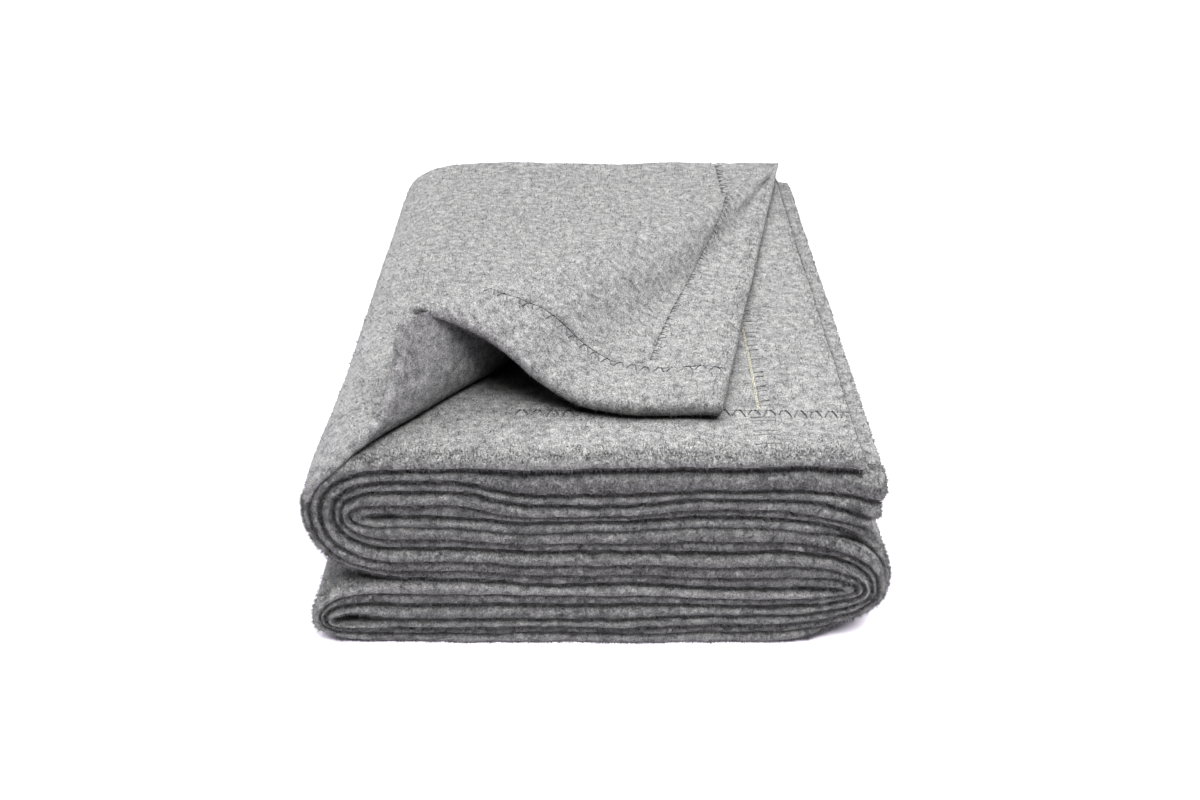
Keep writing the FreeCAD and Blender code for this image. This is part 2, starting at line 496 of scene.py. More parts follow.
def split_fold(fold: Fold, order: int, cut: float) -> tuple[Path, Path, Path]:
    """One turn of a big fold in three parts that share their end sections.

    Args:
        fold: The fold.
        order: 1 for the innermost layer.
        cut: Where the flat stretches above and below end.

    Returns:
        The flat stretch above, out to where the innermost layer turns; the turn; and the flat stretch
        below, back to the cut.
    """
    path = fold_path(fold, order, cut, cut)
    beyond = fold.side * (path.inner[:, 0] + path.outer[:, 0]) / 2 > fold.side * fold.start(0)
    first, last = int(np.argmax(beyond)), len(beyond) - 1 - int(np.argmax(beyond[::-1]))
    return path.part(slice(0, first + 1)), path.part(slice(first, last + 1)), path.part(slice(last, None))


def warp(points: Array) -> Array:
    """Moves points by a gentle random field, so that no layer is quite flat or straight.

    Heights change with the height over the floor, so the underside stays flat and no two layers
    cross. They stay as they are at the two fold lines, so that each packet's sides there are flat.
    The hems make the front edges puff up.
    """
    x, y, z = points[:, 0], points[:, 1], points[:, 2]
    lift = 1.1 * ripple(3, 0.21, x, y) + 0.5 * ripple(4, 0.09, x, y)
    side = 0.9 * ripple(5, 0.24, y, z) * smooth(0.03, 0.15, np.abs(x))
    # the upper left fold bulges under the lifted corner, near the front
    bulge = 3.5 * np.exp(-((y + 0.215) / 0.045) ** 2) * smooth(0.07, 0.1, z) * smooth(-0.1, -0.16, x)
    puff = 4.5 * smooth(0.02, -0.2, y) - 3.0 * smooth(0.0, 0.25, y)
    reach = 9 * MM    # of the calm zone above and below each fold line
    free = smooth(0, reach, np.abs(z - RIGHT_FOLD.z)) * smooth(0, reach, np.abs(z - UPPER_FOLD.z))
    moved = points.copy()
    moved[:, 0] -= MM * bulge
    moved[:, 2] += MM * puff * free * (np.clip(z, 0, LEAF_TOP) / SECOND_TOP) ** 4
    moved[:, 2] += MM * lift * free * np.clip(z / LEAF_TOP, 0, 1)
    moved[:, 0] -= MM * np.abs(side) * np.sign(x)
    return moved


# ---------------------------------------------------------------- pile


@dataclass(frozen=True)
class Pile:
    """Raised fibre ends: long thin closed spikes, a few to a square millimetre where they show."""

    seed: int
    density: float             # spikes to a square millimetre, where a face's weight is 1
    length: float = 2.4 * MM
    radius: float = 0.17 * MM
    spread: float = 0.9        # how far the spikes lean away from the surface's normal
    most: int = 25000

    def grow(self, points: Array, faces: Array, weights: Array) -> tuple[Array, Array]:
        """Places the spikes on faces picked at random.

        A spike is a small triangle on the face and a tip at the face's normal, leaned by a random
        vector, times a random length.

        Args:
            points: Vertices.
            faces: Four sided faces, turned outwards.
            weights: How much pile each face gets for its area.

        Returns:
            Vertices and triangles of the spikes, numbered from 0.
        """
        rng = np.random.default_rng(self.seed)
        a, b, c, d = (points[faces[:, i]] for i in range(4))
        normal = np.cross(c - a, d - b)
        size = np.linalg.norm(normal, axis=1)
        chance = size / 2 * weights
        count = min(self.most, int(self.density / MM ** 2 * chance.sum()))
        pick = rng.choice(len(faces), count, p=chance / chance.sum())
        u, v = rng.uniform(size=(2, count, 1))
        root = (a[pick] * (1 - u) + b[pick] * u) * (1 - v) + (d[pick] * (1 - u) + c[pick] * u) * v
        up = normal[pick] / size[pick, None]
        lean = rng.normal(size=(count, 3))
        lean /= np.linalg.norm(lean, axis=1)[:, None]
        way = up + self.spread * rng.uniform(0.3, 1, (count, 1)) * lean
        tip = root + way * self.length * rng.uniform(0.45, 1.15, (count, 1))
        side = np.cross(way, rng.normal(size=(count, 3)))
        side *= self.radius / np.linalg.norm(side, axis=1)[:, None]
        other = np.cross(way, side)
        other *= self.radius / np.linalg.norm(other, axis=1)[:, None]
        low = root - 0.3 * MM * up
        spikes = np.stack([low + side, low - 0.5 * side + 0.87 * other, low - 0.5 * side - 0.87 * other, tip],
                          axis=1).reshape(-1, 3)
        spikes[:, 2] = np.maximum(spikes[:, 2], 0.1 * MM + 0.05 * MM * rng.uniform(size=len(spikes)))
        start = 4 * np.arange(count)[:, None]
        shape = np.array([[0, 1, 3], [1, 2, 3], [2, 0, 3], [0, 2, 1]])
        return spikes, (start[:, :, None] + shape).reshape(-1, 3)


def dress(piece_name: str, points: Array, faces: Array, caps: list[tuple[int, ...]], pile: Pile,
          weights: Array, material: bpy.types.Material) -> bpy.types.Object:
    """Makes a cloth piece with its pile on it.

    Args:
        piece_name: Name of the piece.
        points: Vertices of the cloth.
        faces: Four sided faces of the cloth.
        caps: Faces that close its ends.
        pile: The pile.
        weights: Share of the pile for each face.
        material: Its finish.

    Returns:
        The piece.
    """
    spikes, triangles = pile.grow(points, faces, weights)
    every = [tuple(f) for f in faces.tolist()] + [tuple(t) for t in (triangles + len(points)).tolist()]
    piece = link(piece_name, np.concatenate([points, spikes]), every + caps, len(caps))
    piece.data.materials.append(material)
    LOG.info("%s: %d triangles", piece_name, 2 * len(faces) + len(triangles))
    return piece


# ---------------------------------------------------------------- layers


@dataclass
class Run:
    """A stretch of one layer: a profile across the stack's depth, carried along a path in section.

    The profile goes once round the layer: over the outer side from front to back, round the back
    edge, and back along the inner side. A point is the path's middle plus the profile's share of half
    the layer's thickness.
    """

    name: str
    path: Path
    seed: int
    step: float = 16 * MM          # grid across the depth
    free_end: bool = False         # the path starts at a hemmed end
    detail: tuple[float, ...] = ()
    relief: Callable[[Array, Array], Array] | None = None
    density: float = 2.0           # of the pile
    open_outer: float = 0.0        # share of the pile on the outer side
    open_inner: float = 0.0        # share of the pile on the inner side
    bluntness: float = 2.6         # power with which an edge falls back to its valleys
    end_round: float = 3.0 * MM    # over which length a free end is rounded

    def edge(self, share: Array, toward: float) -> Array:
        """How far the front or back edge lies back at each share of the thickness.

        It rises with a power of the share on both sides of a blunt middle, more on the upper side,
        so that each edge overhangs the one below it.

        Args:
            share: From -1 on the inner side to 1 on the outer side.
            toward: Factor for the depth of the valleys.

        Returns:
            Distances for each point of the path and each share.
        """
        path = self.path
        across = path.outer - path.inner
        rise = across[:, 1] / (np.linalg.norm(across, axis=1) + 1e-9)
        outer = path.outer_cut * (0.7 + 0.35 * rise)
        inner = path.inner_cut * (0.7 - 0.35 * rise)
        return toward * (outer[:, None] * np.maximum(share, 0)[None, :] ** self.bluntness
                         + inner[:, None] * np.maximum(-share, 0)[None, :] ** self.bluntness)

    def depth_lines(self) -> Array:
        """Grid lines across the depth, as shares from front to back, between the two edges."""
        detail = tuple((y + HALF_DEPTH) / (2 * HALF_DEPTH) for y in self.detail)
        return graded(0, 1, self.step / (2 * HALF_DEPTH), 0.003, (0.0, *detail), 0.014)[1:-1]

    def profile(self, middle: Array, rim: Array, lines: Array) -> Array:
        """Places of the profile's points from front to back, for each point of the path.

        The front and back edges wander a little, so that none is a straight line.

        Args:
            middle: The path's middle.
            rim: Shares of the thickness round an edge, from the inner side to the outer side.
            lines: Grid lines across the depth.

        Returns:
            One row for each point of the path, once round the layer.
        """
        wander = 1.0 * MM * ripple(7, 0.11, middle[:, 0], 3 * middle[:, 1]) \
            + 0.5 * MM * ripple(8, 0.025, middle[:, 0], 3 * middle[:, 1])
        front = -HALF_DEPTH + self.path.setback + wander
        back = HALF_DEPTH - 1.6 * MM + 1.2 * MM * ripple(9, 0.12, middle[:, 0], 3 * middle[:, 1])
        front_y = front[:, None] + self.edge(rim, 1.0)
        back_y = back[:, None] - self.edge(rim, 0.6)
        top_y = front_y[:, -1:] + (back_y[:, -1:] - front_y[:, -1:]) * lines[None, :]
        low_y = front_y[:, :1] + (back_y[:, :1] - front_y[:, :1]) * lines[None, :]
        return np.concatenate([front_y, top_y, back_y[:, ::-1], low_y[:, ::-1]], axis=1)

    def pile_weights(self, along: Array, lines: Array, rim: int) -> Array:
        """Share of the pile for each face.

        Args:
            along: Distance of each point of the path from its start.
            lines: Grid lines across the depth.
            rim: How many points go round an edge.

        Returns:
            One row for each stretch of the path, once round the layer.
        """
        back_rim = rim + len(lines)
        weight = np.zeros((len(along) - 1, 2 * back_rim))
        weight[:, :rim] = 1.0
        weight[:, -1:] = 0.8
        if self.open_outer > 0:
            # the curly pile of the front edge thins out behind it
            fade = 0.8 * np.exp(-lines * 2 * HALF_DEPTH / (5 * MM))
            weight[:, rim:back_rim] = self.open_outer + fade[None, :]
        weight[:, back_rim:back_rim + rim] = 0.2
        weight[:, back_rim + rim:-1] = self.open_inner
        if self.free_end:
            weight = np.maximum(weight, 0.4 * np.exp(-along[:-1] / (4 * MM))[:, None])
        return weight

    @staticmethod
    def faces_out(points: Array, middle: Array, share: Array) -> tuple[Array, list[tuple[int, ...]]]:
        """Faces and end caps, turned outwards.

        Paths run either way round their fold, so all faces are turned over where their normals point
        to the path's middle.

        Args:
            points: Vertices, row by row along the path.
            middle: The path's middle.
            share: Shares of the thickness, once round the layer.

        Returns:
            The four sided faces and the two caps.
        """
        count, columns = len(middle), len(share)
        faces = quads(count, columns, True)
        a, b, d = points[faces[:, 0]], points[faces[:, 1]], points[faces[:, 3]]
        spine = np.repeat(middle[:-1], columns, axis=0)
        toward = (a - np.stack([spine[:, 0], a[:, 1], spine[:, 1]], axis=1))
        outward = (np.cross(b - a, d - a) * toward).sum(axis=1)
        first, last = tuple(range(columns)), tuple(range((count - 1) * columns, count * columns))
        on_sides = np.tile(np.abs(share) > 0.99, count - 1)
        if outward[on_sides].sum() < 0:
            return faces[:, ::-1], [first[::-1], last]
        return faces, [first, last[::-1]]

    def build(self, material: bpy.types.Material) -> bpy.types.Object:
        """Makes the piece."""
        path = self.path
        full = path.outer - path.inner
        size = np.linalg.norm(full, axis=1)[:, None] + 1e-9
        inner = path.inner + full / size * SIDE_GAP
        outer = path.outer - full / size * SIDE_GAP
        middle, half = (inner + outer) / 2, (outer - inner) / 2
        along = np.concatenate([[0], np.cumsum(np.linalg.norm(np.diff(middle, axis=0), axis=1))])
        if self.free_end:
            half = half * np.sqrt(1 - (1 - np.clip(along / self.end_round, 0.02, 1)) ** 2)[:, None]
        rim = np.sin(np.linspace(-math.pi / 2, math.pi / 2, 13))
        lines = self.depth_lines()
        share = np.concatenate([rim, np.ones(len(lines)), rim[::-1], -np.ones(len(lines))])
        y = self.profile(middle, rim, lines)
        section = middle[:, None, :] + half[:, None, :] * share[None, :, None]
        points = np.stack([section[..., 0], y, section[..., 1]], axis=-1)
        if self.relief is not None:
            on_outer = np.zeros(len(share))
            on_outer[len(rim) - 1:len(rim) + len(lines) + 1] = 1
            points[..., 2] += self.relief(points[..., 0], points[..., 1]) * on_outer[None, :]
        lumps = 0.25 * MM * ripple(31, 0.006, points[..., 0], y, points[..., 2], waves=13)
        points[..., 1] += lumps * (np.abs(share) < 0.9)[None, :]
        points = warp(points.reshape(-1, 3))
        points[:, 2] = np.maximum(points[:, 2], 0.05 * MM)
        faces, caps = self.faces_out(points, middle, share)
        weight = self.pile_weights(along, lines, len(rim)).reshape(-1)
        return dress(self.name, points, faces, caps, Pile(self.seed, self.density), weight, material)


def hem_groove(distance: Array, width: float = 1.6 * MM, depth: float = 0.9 * MM) -> Array:
    """A dent along a row of stitches, as a bell curve of the distance from it."""
    return -depth * np.exp(-(distance / width) ** 2)


@dataclass
class Packets:
    """All flat layers and turns of the stack, except the top leaf."""

    material: bpy.types.Material
    front_seam: float = -HALF_DEPTH + HEM + 4 * MM
    right_seam: float = float(corner("upper_ply_b", 1)[0]) - HEM
    rib: float = 6.5 * MM          # between two ribs, and between two stitches of the right seam
    bend_share: float = 0.9        # share of what is inside a turn over which it bends as the fold opens
    least_bend: float = 0.6 * MM   # the same for the innermost turn, from the fold line

    def second_leaf_relief(self, x: Array, y: Array) -> Array:
        """Height of the second leaf's seams and of the ribs that its stitches pull across the hem."""
        across, along = self.right_seam, self.front_seam
        front = hem_groove(y - along) + 0.6 * hem_groove(y - along + 10 * MM, 5 * MM)
        right = hem_groove(x - across) * smooth(along - 2 * MM, along, y)
        rib = np.sin(2 * math.pi * y / self.rib + 0.8 * ripple(71, 0.05, x, y))
        band = smooth(across, across + 3 * MM, x) * (1 - smooth(across + 16 * MM, across + 27 * MM, x))
        ribs = 0.35 * MM * rib * band * smooth(along, along + 8 * MM, y)
        waves = 0.8 * MM * ripple(72, 0.06, x, y) * smooth(across - 10 * MM, across + 20 * MM, x)
        every = front + right + ribs + waves * smooth(along, along + 40 * MM, y)
        return every * smooth(-150 * MM, -120 * MM, x)

    def add(self, run: Run, body: Body, *nodes: str) -> None:
        """Builds a layer that rides on a body and stands for some CAD nodes."""
        piece = run.build(self.material)
        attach(piece, body.value)
        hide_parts(*nodes)
        LOG.info("%s", run.name)

    @staticmethod
    def length_of(path: Path) -> float:
        """Length of a layer along its middle."""
        middle = (path.inner + path.outer) / 2
        return round(float(np.linalg.norm(np.diff(middle, axis=0), axis=1).sum()), 3)

    def build_lower(self) -> None:
        """Lower packet: three layers that turn back in the lower left fold."""
        for order, letters in ((1, "cd"), (2, "be"), (3, "af")):
            above = split_fold(RIGHT_FOLD, 4 - order, RIGHT_CUT)[2].flipped()
            below = split_fold(RIGHT_FOLD, 3 + order, RIGHT_CUT)[2].reversed()
            path = above.followed_by(fold_path(LOWER_FOLD, order, RIGHT_CUT, RIGHT_CUT)).followed_by(below)
            run = Run("lower_layers_" + letters, path, 100 + order, open_outer=0.035 if order == 3 else 0.0)
            self.add(run, Body.LOWER, "lower_ply_" + letters[0], "lower_ply_" + letters[1],
                     "lower_fold_bend_%d" % order)

    def build_middle(self) -> None:
        """Middle packet: six flat layers between the two big folds."""
        across = np.linspace(LEFT_CUT, RIGHT_CUT, 52)
        for number, letter in enumerate("abcdef"):
            left = split_fold(UPPER_FOLD, 6 - number, LEFT_CUT)[2].flipped()
            right = split_fold(RIGHT_FOLD, number + 1, RIGHT_CUT)[0]
            path = left.followed_by(flat_path(6 + number, across)).followed_by(right)
            run = Run("middle_layer_" + letter, path, 200 + number, open_inner=0.03 if letter == "a" else 0.0)
            self.add(run, Body.MIDDLE, "middle_ply_" + letter)

    def build_folds(self) -> None:
        """The six turns of each big fold."""
        plans = (("left", UPPER_FOLD, LEFT_CUT, Body.MIDDLE, Body.UPPER, "upper_fold_opening"),
                 ("right", RIGHT_FOLD, RIGHT_CUT, Body.LOWER, Body.MIDDLE, "lower_fold_opening"))
        for side, fold, cut, below, above, joint in plans:
            for order in range(1, 7):
                path = split_fold(fold, order, cut)[1]
                if side == "left" and order == 6:
                    first = int(np.argmax(path.outer[:, 1] < fold.z + LEAF_EDGE_HEIGHT))
                    path = path.part(slice(first - 1, None))
                run = Run("%s_fold_turn_%d" % (side, order), path, 300 + order + 50 * (side == "right"),
                          open_outer=0.06 if order == 6 else 0.0)
                if side == "left" and order == 5:
                    self.match_second_leaf(run)
                piece = run.build(self.material)
                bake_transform(piece)
                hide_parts("%s_fold_bend_%d" % (side, order))
                LOG.info("%s fold, turn %d", side, order)

    def match_second_leaf(self, run: Run) -> None:
        """Gives a piece of the second leaf its fine grid, seams and pile."""
        run.step = 4 * MM
        run.detail = (self.front_seam, self.front_seam - 10 * MM)
        run.relief = self.second_leaf_relief
        run.open_outer = 0.05

    def build_upper(self) -> None:
        """Upper packet: layers b to f, with their hemmed ends at the right."""
        for number, letter in enumerate("fedcb"):
            end = float(corner("upper_ply_" + letter, 1)[0])
            second = letter == "b"
            spots = (end, self.right_seam) if second else (end,)
            across = graded(LEFT_CUT, end, 2.6 * MM if second else 3.2 * MM, 0.8 * MM, spots, 4 * MM)[::-1]
            turn = split_fold(UPPER_FOLD, number + 1, LEFT_CUT)[0]
            path = flat_path(12 + number, across).followed_by(turn)
            run = Run("upper_layer_" + letter, path, 400 + number, free_end=True,
                      open_inner=0.02 if letter == "f" else 0.0)
            if second:
                self.match_second_leaf(run)
            self.add(run, Body.UPPER, "upper_ply_" + letter)


# ---------------------------------------------------------------- the top leaf

LEAF_EDGE_HEIGHT = 13 * MM    # height over the fold line where the top leaf meets the outermost turn


@dataclass
class TopLeaf:
    """The top leaf: flat at the back left, and lifted into an arch from the front right.

    A place on the leaf is (s, y): s is the distance to the right of where the fold starts to turn,
    measured along the cloth, and y goes from front to back. Where the leaf is lifted it is close to a
    cone of straight rays from the back right corner to a curved front edge, so it keeps about its size;
    its ridge bows a little to the right.
    """

    material: bpy.types.Material
    thickness: float = 6.0 * MM
    lift_start: float = -68 * MM       # where the lift line meets the front edge
    bow: float = 21 * MM               # how far the ridge bows to the right, half way along
    soft: float = 1.5 * MM             # height over which the leaf comes to lie on the cloth below
    tip_zone: float = 14 * MM          # how far from the tip the normals go over to straight up

    # Front edge of the lifted half, as (s, x, y, z), right corner first
    front_edge: tuple[tuple[float, float, float, float], ...] = (
        (258, 75, -212, 140.5), (223, 41, -209, 140.5), (187, 7, -206, 140.8), (164, -14, -203, 142),
        (142, -32, -199, 152), (113, -54, -196, 171.5), (84, -77, -198, 187), (62, -95, -203, 199),
        (50, -105, -205, 202.5), (38, -113, -209, 200.5), (26, -118, -214, 191), (2, -123, -222, 169),
        (-23, -131, -232, 148), (-48, -147, -245, 131), (-68, -166, -253, 115))

    def __post_init__(self) -> None:
        """Works out the fold's arc length and the front edge's curve."""
        turn = np.linspace(0, math.pi / 2, 400)
        arc = UPPER_FOLD.boundary(6, turn)
        self.arc_line = arc
        self.arc_length = np.concatenate([[0], np.cumsum(np.linalg.norm(np.diff(arc, axis=0), axis=1))])
        cut = np.argmax(arc[:, 1] < UPPER_FOLD.z + LEAF_EDGE_HEIGHT)
        self.first = -float(self.arc_length[cut])
        self.last = LEAF_RIGHT - UPPER_FOLD.start(6)
        self.tip = np.array([LEAF_RIGHT, HALF_DEPTH, LEAF_TOP])
        self.keys = np.array(self.front_edge) * MM

    def rest(self, s: Array) -> tuple[Array, Array]:
        """Where the unlifted leaf's upper side is: x and z."""
        flat = s >= 0
        x = np.where(flat, UPPER_FOLD.start(6) + s, np.interp(-s, self.arc_length, self.arc_line[:, 0]))
        z = np.where(flat, LEAF_TOP, np.interp(-s, self.arc_length, self.arc_line[:, 1]))
        return x, z

    def floor(self, x: Array) -> Array:
        """Lowest height of the leaf's upper side: the second leaf under it, plus its own thickness."""
        return UPPER_FOLD.z + UPPER_FOLD.height_over(5, x) + self.thickness + 0.4 * MM

    def edge_curve(self, s: Array) -> Array:
        """The lifted front edge at s: a smooth curve through its key points (cubic Hermite)."""
        keys = self.keys[::-1]
        slope = np.gradient(keys[:, 1:], keys[:, 0], axis=0)
        i = np.clip(np.searchsorted(keys[:, 0], s) - 1, 0, len(keys) - 2)
        width = keys[i + 1, 0] - keys[i, 0]
        t = np.clip((s - keys[i, 0]) / width, 0, 1)[..., None]
        w = width[..., None]
        return ((2 * t ** 3 - 3 * t ** 2 + 1) * keys[i, 1:] + (t ** 3 - 2 * t ** 2 + t) * w * slope[i]
                + (3 * t ** 2 - 2 * t ** 3) * keys[i + 1, 1:] + (t ** 3 - t ** 2) * w * slope[i + 1])

    def surface(self, s: Array, y: Array) -> Array:
        """The leaf's upper side: rest place, or the cone where the leaf is lifted."""
        x, z = self.rest(s)
        lying = np.stack([x, y, z], axis=-1)
        across, back = self.last - s, HALF_DEPTH - y
        angle = np.arctan2(across, np.maximum(back, 1e-6))
        limit = math.atan2(self.last - self.lift_start, 2 * HALF_DEPTH)
        meets = self.last - 2 * HALF_DEPTH * np.tan(np.minimum(angle, limit))
        ends = self.edge_curve(meets)
        share = np.clip(np.hypot(across, back) * np.cos(np.minimum(angle, limit)) / (2 * HALF_DEPTH), 0, 1.2)
        cone = self.tip + share[..., None] * (ends - self.tip)
        pull = self.bow * 4 * share * np.clip(1 - share, 0, 1)
        pull = pull * smooth(math.radians(3), math.radians(20), angle)
        cone += pull[..., None] * np.array([0.863, -0.506, 0.0])    # square to the ridge, seen from above
        cone[..., 2] += self.wrinkles(s, y, angle)
        low = self.floor(cone[..., 0]) - self.thickness + self.cloth_thickness(s, y)
        gap = (cone[..., 2] - low) / self.soft
        # a rounded step (softplus) keeps the leaf above what it lies on
        cone[..., 2] = low + self.soft * np.where(gap > 30, gap, np.log1p(np.exp(np.minimum(gap, 30))))
        mix = smooth(limit, limit - math.radians(1.6), angle)[..., None]
        return lying * (1 - mix) + cone * mix

    def wrinkles(self, s: Array, y: Array, angle: Array) -> Array:
        """Small height changes of the lifted half: soft dents that fan out from the tip."""
        size = np.clip((HALF_DEPTH - y) / (2 * HALF_DEPTH), 0, 1)
        fan = np.sin(angle * 47 + 1.2 * ripple(81, 0.2, s, y)) * 1.3 * MM
        return size * (fan + 1.6 * MM * ripple(82, 0.11, s, y))

    def cloth_thickness(self, s: Array, y: Array) -> Array:
        """Thickness of the cloth: more where the hem is turned over, most at the lifted front right."""
        in_front = smooth(-HALF_DEPTH + HEM, -HALF_DEPTH + HEM - 30 * MM, y)
        in_right = smooth(self.last - HEM, self.last - HEM + 3 * MM, s)
        lying = smooth(120 * MM, 190 * MM, s)
        at_turn = 1 - smooth(-85 * MM, -55 * MM, s)
        return self.thickness + MM * (0.6 * in_right + in_front * (1.2 + 3.6 * lying) - 1.6 * at_turn)

    def relief(self, s: Array, y: Array) -> Array:
        """Height of the seams over the cloth's upper side."""
        front = hem_groove(y + HALF_DEPTH - HEM) + 0.6 * hem_groove(y + HALF_DEPTH - HEM + 9 * MM, 4 * MM)
        right = hem_groove(s - self.last + HEM) + 0.5 * hem_groove(s - self.last + HEM - 12 * MM, 5 * MM)
        beside = np.exp(-((s - self.last + HEM - 9 * MM) / (12 * MM)) ** 2)
        pulls = 0.3 * MM * np.sin(2 * math.pi * y / (8 * MM)) * beside
        lumps = 0.3 * MM * ripple(83, 0.02, s, y) * smooth(self.first, self.first + 15 * MM, s)
        return front + right + pulls + lumps

    def sides(self, s: Array, y: Array) -> tuple[Array, Array]:
        """Upper and lower side of the leaf on a grid of places.

        They lie half the cloth's thickness to each side of its middle, along the normal, and come
        together in a half circle along the free edges. Close to the tip, where the rays meet, the
        normal goes over to straight up.
        """
        grid_s, grid_y = np.meshgrid(s, y, indexing="ij")
        top = self.surface(grid_s, grid_y)
        normal = np.cross(np.gradient(top, s, axis=0), np.gradient(top, y, axis=1))
        normal /= np.linalg.norm(normal, axis=2)[..., None]
        from_tip = np.hypot(self.last - grid_s, HALF_DEPTH - grid_y)
        near_tip = np.exp(-(from_tip / self.tip_zone) ** 2)[..., None]
        normal = normal * (1 - near_tip) + np.array([0.0, 0.0, 1.0]) * near_tip
        normal /= np.linalg.norm(normal, axis=2)[..., None]
        margin = np.minimum(np.minimum(grid_y + HALF_DEPTH, HALF_DEPTH - grid_y), self.last - grid_s)
        round_off = self.cloth_thickness(grid_s, grid_y) * 0.6
        share = np.sqrt(1 - (1 - np.clip(margin / round_off, 0, 1)) ** 2)
        half = self.cloth_thickness(grid_s, grid_y) / 2
        upper = top - normal * (half * (1 - share) - self.relief(grid_s, grid_y) * share)[..., None]
        lower = top - normal * (half * (1 + share))[..., None]
        return upper, lower

    def build(self) -> None:
        """Makes the leaf: its two sides meet along the three free edges, and a cap closes the fourth."""
        edge, fine = 4 * MM, 0.8 * MM
        s = graded(self.first, self.last, 3.2 * MM, fine, (self.last, self.last - HEM), edge)
        spots = (-HALF_DEPTH, HALF_DEPTH, -HALF_DEPTH + HEM)
        y = graded(-HALF_DEPTH, HALF_DEPTH, 3.6 * MM, fine, spots, edge)
        upper, lower = self.sides(s, y)
        rows, columns = len(s), len(y)
        top_index = np.arange(rows * columns).reshape(rows, columns)
        low_index = top_index + rows * columns
        for rim in (np.s_[:, 0], np.s_[:, -1], np.s_[-1, :]):
            low_index[rim] = top_index[rim]
        points = warp(np.concatenate([upper.reshape(-1, 3), lower.reshape(-1, 3)]))

        def sheet_faces(index: Array, turned: bool) -> Array:
            """Faces of one side, from its vertex numbers."""
            around = [index[:-1, :-1], index[1:, :-1], index[1:, 1:], index[:-1, 1:]]
            return np.stack(around[::-1] if turned else around, axis=-1).reshape(-1, 4)

        faces = np.concatenate([sheet_faces(top_index, False), sheet_faces(low_index, True)])
        cap = tuple(top_index[0, :]) + tuple(low_index[0, ::-1][1:-1])
        used, packed = np.unique(np.concatenate([faces.reshape(-1), np.array(cap)]), return_inverse=True)
        points = points[used]
        faces, cap = packed[:faces.size].reshape(-1, 4), tuple(int(v) for v in packed[faces.size:])
        weight = np.full(len(faces), 0.15)
        weight[:(rows - 1) * (columns - 1)] = 1.0
        edge_rows = np.zeros((rows - 1, columns - 1), bool)
        edge_rows[:, :8] = edge_rows[:, -6:] = edge_rows[-8:, :] = True
        weight[np.tile(edge_rows.reshape(-1), 2)] = 3.0
        piece = dress("top_leaf", points, faces, [cap], Pile(500, 0.12, most=25000), weight, self.material)
        self.follow(piece)
        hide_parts("top_leaf_flat", "flap_wall", "flap_slope", "flap_toe")
        LOG.info("top leaf")

    def follow(self, piece: bpy.types.Object) -> None:
        """Bakes a piece's placement into its mesh."""
        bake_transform(piece)


# ---------------------------------------------------------------- stitches


def tube(path: Array, radius: float, sides: int = 5) -> tuple[Array, Array]:
    """A thread: a small polygon carried along a path, each ring square to the path.

    Args:
        path: N x 3 points.
        radius: Half the thread's thickness.
        sides: Corners of the polygon.

    Returns:
        Vertices and four sided faces.
    """
    way = np.gradient(path, axis=0)
    way /= np.linalg.norm(way, axis=1)[:, None] + 1e-12
    up = np.cross(way, np.array([0.31, 0.17, 0.93]))
    up /= np.linalg.norm(up, axis=1)[:, None]
    other = np.cross(way, up)
    turn = 2 * math.pi * np.arange(sides) / sides
    rings = path[:, None, :] + radius * (np.cos(turn)[None, :, None] * up[:, None, :]
                                         + np.sin(turn)[None, :, None] * other[:, None, :])
    return rings.reshape(-1, 3), quads(len(path), sides, True)[:, ::-1]


@dataclass
class Seam:
    """A row of stitches, drawn on a surface given as a function of two places."""

    name: str
    surface: Callable[[Array, Array], Array]
    sink: float = 0.1 * MM
    radius: float = 0.35 * MM
    threads: list[tuple[Array, Array]] = field(default_factory=list)

    def thread(self, u: Array, v: Array, height: Array | float = 0.0) -> None:
        """Adds one thread along places u, v, at a height over the surface."""
        path = self.surface(u, v)
        path = path + np.array([0, 0, 1.0]) * (np.asarray(height) + self.radius - self.sink)[..., None]
        self.threads.append(tube(path, self.radius))

    def build(self, material: bpy.types.Material) -> bpy.types.Object:
        """Joins the threads into one piece; each end is closed by a cap."""
        points, faces, start = [], [], 0
        for vertices, cells in self.threads:
            points.append(vertices)
            faces += [tuple(c) for c in (cells + start).tolist()]
            ring = range(start, start + 5)
            last = range(start + len(vertices) - 5, start + len(vertices))
            faces += [tuple(reversed(ring)), tuple(last)]
            start += len(vertices)
        piece = link(self.name, np.concatenate(points), faces)
        piece.data.materials.append(material)
        return piece


